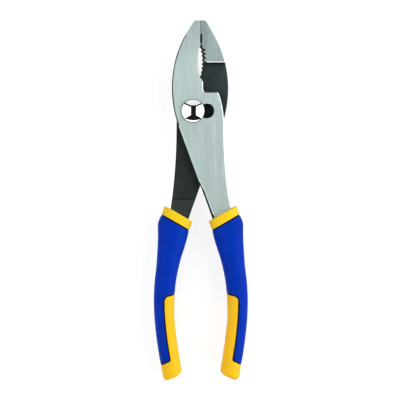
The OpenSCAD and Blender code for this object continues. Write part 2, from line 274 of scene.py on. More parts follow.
def brushedFinish(name, look):
    material, tree, shader, place = newFinish(name)
    lines = tree.nodes.new("ShaderNodeGroup")
    lines.node_tree = brushLines
    lines.inputs["Across"].default_value = look["across"]
    lines.inputs["Along"].default_value = look["along"]
    tree.links.new(place, lines.inputs["Vector"])
    shader.inputs["Metallic"].default_value = look["metallic"]
    blend = mapValue(tree, lines.outputs["Lines"], 0, 1)
    colour = mixTones(tree, blend, look["dark"], look["light"])
    colour = fadeAlong(tree, place, colour, look.get("fades", []))
    tree.links.new(colour, shader.inputs["Base Color"])
    tree.links.new(mapValue(tree, lines.outputs["Bands"], *look["rough"]), shader.inputs["Roughness"])
    addBump(tree, shader, lines.outputs["Lines"], look)
    return material


def grainFinish(name, look):
    material, tree, shader, place = newFinish(name)
    grain = tree.nodes.new("ShaderNodeGroup")
    grain.node_tree = fineGrain
    grain.inputs["Size"].default_value = look["size"]
    tree.links.new(place, grain.inputs["Vector"])
    shader.inputs["Metallic"].default_value = look["metallic"]
    shader.inputs["Specular IOR Level"].default_value = look["gloss"]
    blend = mapValue(tree, grain.outputs["Clouds"], 0, 1)
    colour = mixTones(tree, blend, look["dark"], look["light"])
    colour = fadeAlong(tree, place, colour, look.get("fades", []))
    tree.links.new(colour, shader.inputs["Base Color"])
    tree.links.new(mapValue(tree, grain.outputs["Pits"], *look["rough"]), shader.inputs["Roughness"])
    if "bump" in look:
        addBump(tree, shader, grain.outputs["Pits"], look)
    return material


finishes = {
    "brightFace": brushedFinish("brightFace", {
        "light": tone(237, 255, 253), "dark": tone(199, 220, 217), "metallic": 1.0,
        "across": 3600, "along": 60, "rough": (0.49, 0.55), "bump": 0.25, "depth": 0.00004,
        # painted shade: the ground face darkens down the tang and towards the tip of the nose
        "fades": [(24, -20, 0.92), (-20, -60, 0.93), (24, 50, 0.8)],  # from mm, to mm, level there
    }),
    # darker and more finely brushed than the ground face; on the tooth tips the darker tone is a painted
    # shade
    "groundNose": brushedFinish("groundNose", {
        "light": tone(210, 229, 226), "dark": tone(178, 198, 196), "metallic": 1.0,
        "across": 3000, "along": 240, "rough": (0.42, 0.54), "bump": 0.3, "depth": 0.00004,
    }),
    "brightEdge": brushedFinish("brightEdge", {
        "light": tone(240, 247, 246), "dark": tone(222, 234, 232), "metallic": 1.0,
        "across": 2400, "along": 400, "rough": (0.16, 0.24), "bump": 0.1, "depth": 0.00003,
    }),
    "blackSteel": grainFinish("blackSteel", {
        "light": tone(55, 66, 68), "dark": tone(40, 49, 51), "metallic": 0.2, "gloss": 0.35,
        "size": 2600, "rough": (0.42, 0.58), "bump": 0.2, "depth": 0.00005,
        # painted shade: darker from the web down into the tang, and a painted shadow just under the step of
        # the nose
        "fades": [(14, -12, 0.62), (24.4, 27, 0.35)],
    }),
    # painted light: a lighter black for the tang below the crease, standing in for the light on the tang's
    # bend
    "paintedLitBlack": grainFinish("paintedLitBlack", {
        "light": tone(51, 61, 62), "dark": tone(39, 48, 49), "metallic": 0.2, "gloss": 0.35,
        "size": 1500, "rough": (0.48, 0.66), "bump": 0.3, "depth": 0.00006,
    }),
    # painted shade: near black on the toothed walls, the crease and the chamfers that face away from the
    # brighter light
    "paintedShade": grainFinish("paintedShade", {
        "light": tone(24, 29, 30), "dark": tone(14, 17, 18), "metallic": 0.0, "gloss": 0.1,
        "size": 2600, "rough": (0.5, 0.7), "bump": 0.2, "depth": 0.00005,
    }),
    "chrome": grainFinish("chrome", {
        "light": tone(246, 248, 248), "dark": tone(238, 242, 242), "metallic": 1.0, "gloss": 0.5,
        "size": 900, "rough": (0.03, 0.06),  # polished, so without a bump
    }),
    # painted shade: a dark steel that draws the dark outline round the bolt's head
    "shadeSteel": grainFinish("shadeSteel", {
        "light": tone(120, 128, 128), "dark": tone(92, 100, 100), "metallic": 1.0, "gloss": 0.5,
        "size": 1800, "rough": (0.3, 0.42), "bump": 0.1, "depth": 0.00003,
    }),
    "satinNut": grainFinish("satinNut", {
        "light": tone(172, 182, 182), "dark": tone(136, 147, 147), "metallic": 1.0, "gloss": 0.5,
        "size": 1800, "rough": (0.3, 0.45), "bump": 0.15, "depth": 0.00004,
    }),
    "yellowGrip": grainFinish("yellowGrip", {
        "light": tone(255, 200, 22), "dark": tone(252, 194, 14), "metallic": 0.0, "gloss": 0.2,
        "size": 2600, "rough": (0.42, 0.58), "bump": 0.3, "depth": 0.00006,
    }),
    "yellowCollar": grainFinish("yellowCollar", {
        "light": tone(255, 214, 26), "dark": tone(252, 206, 18), "metallic": 0.0, "gloss": 0.2,
        "size": 2600, "rough": (0.42, 0.58), "bump": 0.3, "depth": 0.00006,
    }),
    "blueGrip": grainFinish("blueGrip", {
        "light": tone(0, 54, 184), "dark": tone(0, 48, 170), "metallic": 0.0, "gloss": 0.05,
        "size": 2600, "rough": (0.45, 0.62), "bump": 0.3, "depth": 0.00006,
        "fades": [(-105, -145, 0.9)],
    }),
    # painted shade: near black on the floor of the grooves round the pad and under the collar
    "grooveShade": grainFinish("grooveShade", {
        "light": tone(12, 15, 26), "dark": tone(7, 9, 16), "metallic": 0.0, "gloss": 0.15,
        "size": 3000, "rough": (0.6, 0.8), "bump": 0.12, "depth": 0.00005,
    }),
}
print("finishes ready:", ", ".join(finishes))


# The two forged halves: rounded copies of the solids, bright on the ground faces and black elsewhere, with
# painted shade and painted light in places

halfLook = {
    "finishes": ["brightFace", "brightEdge", "groundNose", "blackSteel", "paintedShade", "paintedLitBlack"],
    "edge": 0.5, "edgeSegments": 1, "sharpFrom": 40, "smoothFrom": 36,
    "rimEdge": 0.15, "rimReach": 9.0, "rimHalf": 5.0,  # the bolt's hole and slot have a finer edge
    "toothReach": 4.4, "toothFrom": 16.2,  # the toothed side of a jaw keeps its crisp corners
    "stepY": 27.2, "stepReach": 0.4, "noseY": 43.2, "tipY": 44.0, "reliefY": 38.0, "pipeY": 17.6,
    # the toothed walls lean: how far they reach forward at the front and back at the far side
    "noseFront": 0.2, "noseSlant": 0.35, "pipeFront": 0.8, "pipeMiddle": 0.5, "pipeSlant": 1.3,
    "biteX": 0.05, "reliefX": -0.4, "reliefStep": 0.05, "reliefSlant": 0.65,
    "cornerX": -0.5, "cornerReach": 0.2,  # the corner where the fine teeth begin leans with them
    # painted shade: behind hatchZ the coarse teeth are painted black
    "hatchZ": -0.5,  # the coarse teeth are bright in front of here and black behind
    "collarX": 14.0, "collarY": -56.0,  # the tang's outer edge stays sharp where the collar hides it
    "bendY": -58.4, "faceZ": 5.25,  # the outer face stays level down to the bend inside the grip
    "stepWide": 0.37, "stepDeep": 0.3,  # chamfer across the step of the nose
    # along the tang's inner edge the chamfer is bright from neckY down, then painted black as shade and
    # broader
    "neckY": -8.2, "ridgeFrom": -40.0, "ridgeEase": 5.0, "ridge": 0.2, "tangBroad": 0.6, "tangDeep": 0.3,
    "creaseY": -49.5, "creaseWide": 0.45, "creaseDeep": 0.2,  # shallow line across the inner face; the black below it is painted lighter, a painted light for the tang's bend
    "flatFrom": 0.97, "edgeTo": 0.9,  # how level a ground face is, and how steep a chamfer
    "facing": 0.3, "sideways": 0.25, "wallFrom": 0.2,  # least turn of a face to the front or the side
    "skinZ": 1.0, "near": 0.05,  # a point off the middle plane, and points that count as one
}


def sideOf(turned):
    return -1 if turned else 1


def blankPoint(point, turned):
    # a place on a half as seen on its own front, in mm from the pivot, centre line and middle plane
    side = sideOf(turned)
    return Vector((side * (point.x / mm - middleX), point.y / mm, side * (point.z / mm - middleZ)))


def turnedNormal(face, turned):
    side = sideOf(turned)
    return Vector((side * face.normal.x, face.normal.y, side * face.normal.z))


def isToothed(spot, normal):
    look = halfLook
    inReach = spot.y > look["toothFrom"] and spot.x > -look["toothReach"]
    return inReach and abs(normal.z) < look["facing"]


def isInnerChamfer(normal):
    look = halfLook
    return look["facing"] < normal.z < look["edgeTo"] and normal.x < -look["sideways"]


def splitTeeth(bm, turned):
    # parts the toothed walls, so that the tips of the teeth can be bright and their roots painted dark as
    # shade
    walls = [f for f in bm.faces if isToothed(blankPoint(f.calc_center_median(), turned), f.normal)]
    level = middleZ + sideOf(turned) * halfLook["hatchZ"]
    bmesh.ops.bisect_plane(
        bm, geom=withCorners(walls), dist=cutGap, plane_co=(0, 0, level * mm), plane_no=(0, 0, 1),
    )
    bm.normal_update()


def toothMove(spot):
    # how far a point of the toothed wall goes towards the other jaw
    look = halfLook
    onNose, onPipe = spot.y > look["noseY"], spot.y < look["reliefY"]
    if spot.z < -look["skinZ"]:
        return -look["pipeSlant" if onPipe else "noseSlant" if onNose else "reliefSlant"]
    if onPipe:
        return look["pipeFront"] if spot.z > look["skinZ"] else -look["pipeMiddle"]
    if abs(spot.z - look["hatchZ"]) < look["near"]:
        return 0  # the middle of the nose stays, so that the closed jaws don't meet
    if onNose:
        return look["noseFront"]
    sunk = look["reliefStep"] if spot.x < look["reliefX"] else 0
    return look["biteX"] - sunk - spot.x


def slantTeeth(bm, turned):
    # forward the bite reaches the centre line, and the toothed wall leans back to the far face of the nose
    look = halfLook
    side = sideOf(turned)
    moves = []
    for vert in bm.verts:
        spot = blankPoint(vert.co, turned)
        onWall = any(
            f.normal.x * side > look["wallFrom"] and abs(f.normal.z) < look["facing"] for f in vert.link_faces
        )
        isCorner = (
            abs(spot.x - look["cornerX"]) < look["near"]
            and abs(spot.y - look["noseY"]) < look["cornerReach"]
        )
        if (onWall or isCorner) and -look["toothReach"] <= spot.x <= 0 and spot.y >= look["pipeY"]:
            moves.append((vert, toothMove(spot)))
    for vert, move in moves:
        vert.co.x += side * move * mm


def levelTang(bm, turned):
    # keeps the outer face level into the collar
    look = halfLook
    for vert in bm.verts:
        spot = blankPoint(vert.co, turned)
        if abs(spot.y - look["bendY"]) < look["near"] and spot.z > 0:
            vert.co.z += sideOf(turned) * (look["faceZ"] - spot.z) * mm


def leanStep(bm, turned):
    # a chamfer right across the step of the nose, flat enough to catch the light
    look = halfLook
    nose = [
        f for f in bm.faces
        if turnedNormal(f, turned).z < -look["flatFrom"] and f.calc_center_median().y > look["stepY"] * mm
    ]
    cutAcross(bm, nose, look["stepY"] + look["stepWide"])
    for vert in bm.verts:
        spot = blankPoint(vert.co, turned)
        if abs(spot.y - look["stepY"]) < look["near"] and spot.z < -look["skinZ"]:
            vert.co.z += sideOf(turned) * look["stepDeep"] * mm


def broadenTang(bm, turned):
    # near the grips a wider chamfer along the inner edge, painted black as shade, with a thin bright ridge
    # above it
    look = halfLook
    side = sideOf(turned)
    for place in (look["neckY"], look["ridgeFrom"], look["ridgeFrom"] - look["ridgeEase"]):
        cutAcross(bm, [f for f in bm.faces if isInnerChamfer(turnedNormal(f, turned))], place)
    bm.normal_update()
    ridge = []
    for edge in bm.edges:
        spot = blankPoint((edge.verts[0].co + edge.verts[1].co) / 2, turned)
        if len(edge.link_faces) != 2 or spot.y > look["ridgeFrom"]:
            continue
        low, high = sorted((turnedNormal(f, turned) for f in edge.link_faces), key=lambda n: n.z)
        if high.z > look["flatFrom"] and isInnerChamfer(low):
            ridge.append(edge)
    upper = {v for e in ridge for v in e.verts}
    chamfers = [f for e in ridge for f in e.link_faces if turnedNormal(f, turned).z < look["edgeTo"]]
    lower = {v for f in chamfers for v in f.verts}
    for vert in upper | lower:
        share = max(0, min(1, (look["ridgeFrom"] - vert.co.y / mm) / look["ridgeEase"]))
        if vert in upper:
            vert.co.x += side * look["tangBroad"] * share * mm
        else:
            vert.co.z -= side * look["tangDeep"] * share * mm
    bevelEdges(bm, ridge, look["ridge"], 1, True)


def creaseTang(bm, turned):
    # a shallow line across the inner face
    look = halfLook
    for shift in (-0.5, 0, 0.5):
        inner = [f for f in bm.faces if turnedNormal(f, turned).z < -look["flatFrom"]]
        cutAcross(bm, inner, look["creaseY"] + shift * look["creaseWide"])
    for vert in bm.verts:
        spot = blankPoint(vert.co, turned)
        if abs(spot.y - look["creaseY"]) < look["near"] and abs(spot.z) < look["skinZ"]:
            vert.co.z += sideOf(turned) * look["creaseDeep"] * mm


def halfFinish(spot, normal):
    look = halfLook
    flat = abs(normal.z) > look["flatFrom"]
    onEdge = look["facing"] < abs(normal.z) < look["edgeTo"]
    toBack = normal.z < -look["facing"]
    if normal.z > look["facing"]:
        if flat:
            return "brightFace"
        # painted shade on the chamfers that face left, but not at the tip of the nose nor from the neck down
        # to the ridge
        if isInnerChamfer(normal):
            dark = look["neckY"] < spot.y < look["tipY"] or spot.y < look["ridgeFrom"]
            return "paintedShade" if dark else "groundNose"
        return "brightEdge"
    if toBack and spot.y > look["stepY"] - look["stepReach"]:
        return "groundNose" if flat else "brightEdge"
    if spot.y > look["noseY"]:
        return "groundNose"
    # painted shade on the toothed walls, all but the bright tooth faces
    if isToothed(spot, normal):
        return "groundNose" if spot.z < look["hatchZ"] and normal.y < 0 else "paintedShade"
    # painted shade in the crease and on the back chamfers that face the side
    inCrease = abs(spot.y - look["creaseY"]) < look["creaseWide"] / 2
    if toBack and (inCrease or onEdge and normal.x > look["sideways"]):
        return "paintedShade"
    # painted light below the crease
    return "paintedLitBlack" if spot.y < look["creaseY"] else "blackSteel"


def bevelHalf(bm, turned):
    look = halfLook
    rims, rounded = [], []
    for edge in sharpEdges(bm, look["sharpFrom"]):
        spot = blankPoint((edge.verts[0].co + edge.verts[1].co) / 2, turned)
        onTeeth = spot.x > -look["toothReach"] and spot.y > look["toothFrom"]
        heights = [v.co.y / mm - look["stepY"] for v in edge.verts]
        onStep = any(all(abs(h - level) < look["near"] for h in heights) for level in (0, look["stepWide"]))
        inCollar = spot.x > look["collarX"] and spot.y < look["collarY"]
        if onTeeth or onStep or inCollar:
            continue
        onRim = abs(spot.x) < look["rimReach"] and abs(spot.y) < look["rimHalf"]
        (rims if onRim else rounded).append(edge)
    bevelEdges(bm, rounded, look["edge"], look["edgeSegments"], False)
    bevelEdges(bm, rims, look["rimEdge"], look["edgeSegments"], False)


def buildHalf(node, name, body, turned):
    look = halfLook
    bm = mergedCopy(node)
    joinFlatFaces(bm)
    bm.normal_update()
    splitTeeth(bm, turned)
    slantTeeth(bm, turned)
    levelTang(bm, turned)
    leanStep(bm, turned)
    for change in (bevelHalf, broadenTang, creaseTang):
        bm.normal_update()
        change(bm, turned)
    bm.normal_update()
    for face in bm.faces:
        spot = blankPoint(face.calc_center_median(), turned)
        face.material_index = look["finishes"].index(halfFinish(spot, turnedNormal(face, turned)))
    half = newPiece(name, bm)
    for finish in look["finishes"]:
        half.data.materials.append(finishes[finish])
    smoothPiece(half, look["smoothFrom"])
    dressPiece(half, body, node)
    print(name, "made with", len(half.data.polygons), "faces")


buildHalf("front_half", "frontHalf", "front_jaw", False)
buildHalf("rear_half", "rearHalf", "rear_jaw", True)


# Bolt and nut

boltLook = {
    "headRadius": 6.6, "headLow": 13.8, "headTop": 17.1, "rim": 0.5, "rimEdge": 0.12,
    "shankRadius": 4.05, "flatHalf": 2.7, "shankLow": 3.25, "studRadius": 3.0, "endChamfer": 0.4,
    "polished": 6.3,  # the dome is bright out to here; its rim and shank are painted dark, a painted shade round the head
    "cutLong": 10.0, "cutWide": 4.0,  # blocks that cut the two flats
    "turns": 128, "domeSteps": 44, "smoothFrom": 30,
}
nutLook = {"edge": 0.12, "edgeSegments": 2, "sharpFrom": 45, "smoothFrom": 36}


def applyCut(piece, cutter, operation):
    cut = piece.modifiers.new("cut", "BOOLEAN")
    cut.operation = operation
    cut.object = cutter
    cut.solver = "EXACT"
    cut.material_mode = "TRANSFER"
    view = bpy.context.evaluated_depsgraph_get()
    shaped = bpy.data.meshes.new_from_object(piece.evaluated_get(view))
    piece.modifiers.remove(cut)
    piece.data = shaped
    inOrder(piece)


def dropCutter(*cutters):
    for cutter in cutters:
        bpy.data.objects.remove(cutter)


def buildBolt():
    look = boltLook
    dome = look["headTop"] - look["headLow"] - look["rim"]
    radius = (look["headRadius"] ** 2 + dome ** 2) / (2 * dome)
    reach = math.asin(look["headRadius"] / radius)
    profile = []
    for i in range(look["domeSteps"] + 1):
        a = reach * i / look["domeSteps"]
        profile.append((radius * math.sin(a), look["headTop"] - radius * (1 - math.cos(a))))
    profile += [
        (look["headRadius"], look["headLow"] + look["rimEdge"]),
        (look["headRadius"] - look["rimEdge"], look["headLow"]),
        (look["shankRadius"], look["headLow"]),
        (look["shankRadius"], look["shankLow"]),
        (look["studRadius"], look["shankLow"]),
        (look["studRadius"], look["endChamfer"]),
        (look["studRadius"] - look["endChamfer"], 0),
        (0, 0),
    ]
    bm = bmesh.new()
    points = [bm.verts.new((r * mm, 0, z * mm)) for r, z in profile]
    line = [bm.edges.new(pair) for pair in zip(points, points[1:])]
    bmesh.ops.spin(
        bm, geom=points + line, cent=(0, 0, 0), axis=(0, 0, 1), angle=2 * math.pi,
        steps=look["turns"], use_merge=True,
    )
    bmesh.ops.remove_doubles(bm, verts=bm.verts[:], dist=cutGap)
    bmesh.ops.recalc_face_normals(bm, faces=bm.faces[:])
    bolt = newPiece("pivotBolt", bm)
    for side in (1, -1):
        box = bmesh.new()
        bmesh.ops.create_cube(box, size=1)
        size = Vector((look["cutLong"], look["cutWide"], look["headLow"] - middleZ))
        bmesh.ops.scale(box, vec=size * mm, verts=box.verts[:])
        away = look["flatHalf"] + look["cutWide"] / 2
        shift = Vector((0, side * away, (look["headLow"] + middleZ) / 2))
        bmesh.ops.translate(box, vec=shift * mm, verts=box.verts[:])
        cutter = newPiece("flatCutter", box)
        applyCut(bolt, cutter, "DIFFERENCE")
        dropCutter(cutter)
    bolt.data.materials.clear()
    bolt.data.materials.append(finishes["chrome"])
    bolt.data.materials.append(finishes["shadeSteel"])
    for face in bolt.data.polygons:
        out = math.hypot(face.center.x, face.center.y) / mm
        face.material_index = int(face.center.z / mm < look["headLow"] or out > look["polished"])
    smoothPiece(bolt, look["smoothFrom"])
    dressPiece(bolt, "pivot", "pivot_bolt")
    print("bolt made")


def buildNut():
    look = nutLook
    bm = mergedCopy("pivot_nut")
    joinFlatFaces(bm)
    bevelEdges(bm, sharpEdges(bm, look["sharpFrom"]), look["edge"], look["edgeSegments"], True)
    nut = newPiece("pivotNut", bm)
    nut.data.materials.append(finishes["satinNut"])
    smoothPiece(nut, look["smoothFrom"])
    dressPiece(nut, "pivot", "pivot_nut")
    print("nut made")


buildBolt()
buildNut()


# The cushion grips: one rounded form along the tang, parted into collar, sleeve and pad

gripLook = {
    "top": 57.6, "length": 92.2, "thick": 17.0, "width": 11.7, "spread": 20.6, "squareness": 2.5,
    "mouthRound": 0.8, "endRound": 3.0, "sides": 80, "steps": 88, "mouthSteps": 6, "endSteps": 10,
    # place along the grip, distance from the centre line, width, lost thickness, tilt in degrees
    "stations": [
        (0, 0.5995, 1.547, 0.0941, 30), (0.053, 0.6893, 1.53, 0.0588, 29.5),
        (0.105, 0.7646, 1.59, 0.0294, 29), (0.175, 0.8107, 1.419, 0.0118, 28.5),
        (0.25, 0.8641, 1.222, 0, 24.5), (0.335, 0.9175, 1.068, 0, 15),
        (0.42, 0.9709, 1.021, 0, 6.5), (0.52, 1, 1, 0, 0),
        (0.63, 0.9951, 0.9658, 0, -4.5), (0.745, 0.9466, 0.9573, 0, -7),
        (0.86, 0.8714, 0.9573, 0.0118, -11.5), (0.92, 0.8252, 0.9487, 0.0294, -16),
        (1, 0.7646, 0.9829, 0.0588, -24),
    ],
    "collarHeight": 4.9, "stripWidth": 5.9, "padStart": 47.0, "capHeight": 9.7,
    "padTilt": 15, "capTilt": 27, "padRound": 2.6, "stripRound": 1.4, "grooveWidth": 0.8, "grooveDepth": 0.35,
    "softEdge": 0.22, "softSegments": 2, "weld": 0.14, "sharpFrom": 35, "skinInset": 0.002,
    # the block that cuts out the pad: its steps, how far it reaches in, out and past the end, and its levels
    "borderSteps": 24, "cornerSteps": 8,
    "cutIn": 16, "cutOut": 18, "cutPast": 12, "cutLow": -10, "cutTall": 40,
}


def stationAt(share):
    rows = gripLook["stations"]
    last = len(rows) - 1
    i = 0
    while i < last - 1 and share >= rows[i + 1][0]:
        i += 1

    def slope(k):
        a, b = rows[max(k - 1, 0)], rows[min(k + 1, last)]
        return [(q - p) / (b[0] - a[0]) for p, q in zip(a, b)]

    a, b = rows[i], rows[i + 1]
    wide = b[0] - a[0]
    u = (share - a[0]) / wide
    return [
        p * (1 + 2 * u) * (1 - u) ** 2 + q * (3 - 2 * u) * u ** 2
        + m * wide * u * (1 - u) ** 2 - n * wide * (1 - u) * u ** 2
        for p, q, m, n in zip(a, b, slope(i), slope(i + 1))
    ]


def planPoint(share, offset):
    # offset in mm from the middle of the grip's width, in the tilted section
    _, away, _, _, tilt = stationAt(share)
    a = math.radians(tilt)
    x = away * gripLook["spread"] + offset * math.cos(a)
    return Vector((x, -gripLook["top"] - share * gripLook["length"] + offset * math.sin(a)))


def halfWidth(share):
    return stationAt(share)[2] * gripLook["width"] / 2


def softPower(v):
    return math.copysign(abs(v) ** (2 / gripLook["squareness"]), v)


def skinPoint(share, angle, inset):
    deep = (1 - max(stationAt(share)[3], 0)) * gripLook["thick"] / 2
    plan = planPoint(share, (halfWidth(share) - inset) * softPower(math.cos(angle)))
    return Vector((middleX + plan.x, plan.y, middleZ + (deep - inset) * softPower(math.sin(angle)))) * mm


def gripRings():
    look = gripLook
    long, mouth, end = look["length"], look["mouthRound"], look["endRound"]
    quarter = math.pi / 2
    rings = []
    for i in range(look["mouthSteps"] + 1):
        a = quarter * (1 - i / look["mouthSteps"])
        rings.append((mouth * (1 - math.sin(a)) / long, mouth * (1 - math.cos(a))))
    first, final = mouth / long, 1 - end / long
    for i in range(1, look["steps"]):
        rings.append((first + (final - first) * i / look["steps"], 0))
    for i in range(look["endSteps"] + 1):
        a = quarter * i / look["endSteps"]
        rings.append((1 - end * (1 - math.sin(a)) / long, end * (1 - math.cos(a))))
    return rings


def gripBody(name, inset):
    bm = bmesh.new()
    order = bm.verts.layers.int.new("order")
    ring = bmesh.ops.create_circle(bm, cap_ends=True, segments=gripLook["sides"], radius=mm)["verts"]
    for i, vert in enumerate(ring):
        vert[order] = i
    edges = bm.edges[:]
    for k, (share, shrink) in enumerate(gripRings()):
        if k:
            made = bmesh.ops.extrude_edge_only(bm, edges=edges)["geom"]
            ring = [g for g in made if isinstance(g, bmesh.types.BMVert)]
            new = set(ring)
            edges = [g for g in made if isinstance(g, bmesh.types.BMEdge) and new.issuperset(g.verts)]
        for vert in ring:
            vert.co = skinPoint(share, 2 * math.pi * vert[order] / gripLook["sides"], inset + shrink)
    bmesh.ops.edgeloop_fill(bm, edges=edges)
    bmesh.ops.recalc_face_normals(bm, faces=bm.faces[:])
    return newPiece(name, bm)


def padCutter(name, grow):
    # upright block over the pad and the end cap, its two corners rounded in plan
    look = gripLook
    long, steps = look["length"], look["borderSteps"]
    topTilt, lowTilt = math.radians(look["padTilt"]), math.radians(look["capTilt"])
    start = look["padStart"] - grow * (1 - math.sin(topTilt)) / math.cos(topTilt)
    stop = long - look["capHeight"] - grow * (1 - math.sin(lowTilt)) / math.cos(lowTilt)
    strip = look["stripWidth"] - grow
    border = []
    for i in range(steps + 1):
        share = (start + (stop - start) * i / steps) / long
        border.append(planPoint(share, halfWidth(share) - strip))
    topIn = border[0] - look["cutIn"] * Vector((math.cos(topTilt), -math.sin(topTilt)))
    capOut = border[-1] + look["cutOut"] * Vector((math.cos(lowTilt), -math.sin(lowTilt)))
    endY = -look["top"] - long - look["cutPast"]
    outline = [topIn] + border + [capOut, Vector((capOut.x, endY)), Vector((topIn.x, endY))]
    bm = bmesh.new()
    verts = [bm.verts.new(((middleX + p.x) * mm, p.y * mm, look["cutLow"] * mm)) for p in outline]
    bm.faces.new(verts)
    inside, top, topNext = verts[:3]
    capNext, cap, outside = verts[steps:steps + 3]
    corners = [
        (top, topNext, inside, look["padRound"] + grow),
        (cap, capNext, outside, look["stripRound"] - grow),
    ]
    ease = []
    for corner, along, away, radius in corners:
        turn = (along.co - corner.co).angle(away.co - corner.co)
        ease.append((corner, radius / math.tan(turn / 2)))
    # the border points beside the corners make room for the rounding
    bmesh.ops.dissolve_verts(bm, verts=[topNext, capNext])
    for corner, reach in ease:
        bmesh.ops.bevel(
            bm, geom=[corner], offset=reach * mm, affect="VERTICES", segments=look["cornerSteps"],
            profile=0.5, material=-1, clamp_overlap=False,
        )
    up = bmesh.ops.extrude_face_region(bm, geom=bm.faces[:])["geom"]
    raised = [g for g in up if isinstance(g, bmesh.types.BMVert)]
    bmesh.ops.translate(bm, vec=(0, 0, look["cutTall"] * mm), verts=raised)
    bmesh.ops.recalc_face_normals(bm, faces=bm.faces[:])
    return newPiece(name, bm)


def collarPlane(drop):
    # lower edge of the collar, square to the mouth
    tilt = math.radians(gripLook["stations"][0][4])
    mouth = planPoint(0, 0)
    normal = Vector((-math.sin(tilt), math.cos(tilt), 0))
    middle = Vector((middleX + mouth.x, mouth.y, middleZ)) - normal * (gripLook["collarHeight"] + drop)
    return middle * mm, normal


def trimPiece(piece, drop, keepAbove):
    middle, normal = collarPlane(drop)
    bm = bmesh.new()
    bm.from_mesh(piece.data)
    cut = bmesh.ops.bisect_plane(
        bm, geom=bm.verts[:] + bm.edges[:] + bm.faces[:], dist=cutGap, plane_co=middle,
        plane_no=normal, clear_outer=not keepAbove, clear_inner=keepAbove,
    )
    rim = [g for g in cut["geom_cut"] if isinstance(g, bmesh.types.BMEdge)]
    bmesh.ops.edgeloop_fill(bm, edges=rim)
    bmesh.ops.recalc_face_normals(bm, faces=bm.faces[:])
    bm.to_mesh(piece.data)
    bm.free()


def softenEdges(piece):
    # welds what the cut left beside its edge, then rounds the edge
    look = gripLook
    bm = bmesh.new()
    bm.from_mesh(piece.data)
    ends = [v for e in sharpEdges(bm, look["sharpFrom"]) for v in e.verts]
    near = list(dict.fromkeys(v for end in ends for side in end.link_edges for v in side.verts))
    bmesh.ops.remove_doubles(bm, verts=near, dist=look["weld"] * mm)
    bevelEdges(bm, sharpEdges(bm, look["sharpFrom"]), look["softEdge"], look["softSegments"], False)
    bmesh.ops.recalc_face_normals(bm, faces=bm.faces[:])
    bm.to_mesh(piece.data)
    bm.free()


def setFinish(piece, finish):
    piece.data.materials.clear()
    piece.data.materials.append(finishes[finish])
    for face in piece.data.polygons:
        face.material_index = 0


def otherSide(piece, name):
    # the left grip is the right one turned half a turn about the centre line
    bm = bmesh.new()
    bm.from_mesh(piece.data)
    pivot = Vector((middleX, 0, middleZ)) * mm
    for vert in bm.verts:
        vert.co.x, vert.co.z = 2 * pivot.x - vert.co.x, 2 * pivot.z - vert.co.z
    other = newPiece(name, bm)
    for finish in piece.data.materials:
        other.data.materials.append(finish)
    return other


def buildGrips():
    look = gripLook
    padBlock, padRoom = padCutter("padBlock", 0), padCutter("padRoom", look["grooveWidth"])
    tang = newPiece("tangCutter", mergedCopy("front_half"))

    collar = gripBody("rightCollar", look["skinInset"])
    trimPiece(collar, 0, True)
    softenEdges(collar)

    pad = gripBody("rightPad", look["skinInset"])
    applyCut(pad, padBlock, "INTERSECT")
    softenEdges(pad)

    sleeve = gripBody("rightSleeve", look["skinInset"])
    trimPiece(sleeve, look["grooveWidth"], False)
    applyCut(sleeve, padRoom, "DIFFERENCE")
    softenEdges(sleeve)
    core = gripBody("sleeveCore", look["grooveDepth"])
    trimPiece(core, 0, False)

    # a cut takes the cutter's finish, so the cutters are dressed too, the groove's with painted shade
    dressed = [
        (collar, "yellowCollar"), (pad, "yellowGrip"), (sleeve, "blueGrip"),
        (core, "grooveShade"), (padBlock, "grooveShade"), (tang, "grooveShade"),
    ]
    for piece, finish in dressed:
        setFinish(piece, finish)
    applyCut(core, padBlock, "DIFFERENCE")
    applyCut(sleeve, core, "UNION")

    for label, right in (("Collar", collar), ("Sleeve", sleeve), ("Pad", pad)):
        applyCut(right, tang, "DIFFERENCE")
        left = otherSide(right, "left" + label)
        for piece, side, body in ((right, "right", "front_jaw"), (left, "left", "rear_jaw")):
            smoothPiece(piece, look["sharpFrom"])
            dressPiece(piece, body, side + "_" + label.lower())
        print(label.lower(), "made with", len(right.data.polygons), "faces")
    dropCutter(padBlock, padRoom, core, tang)


buildGrips()


# Floor, light tent and camera

stageLook = {"floorSize": 8.0, "floorDrop": 0.2, "floorTone": 0.3, "floorGlow": 0.82}
tentLook = {
    "right": 2.62, "left": 1.38, "back": 0.95, "front": 1.8, "shade": 0.012, "below": 0.5,
    "edge": 0.719,  # sine of the steepest slope of the bolt's dome, on which these shares are measured
    "shift": 0.05, "barHalf": 0.225, "backStart": 0.31, "backRise": 0.45, "seam": 0.075,
    "frontStart": 0.23, "frontRise": 0.55, "lowEdge": 0.8, "lowCurve": 0.31,
}
cameraLook = {
    "distance": 1.6, "fromLeft": 2.0, "roll": -0.2,
    "middle": (4.05, -49.98, 8.5), "wide": 224.9, "seesTo": 20,
}


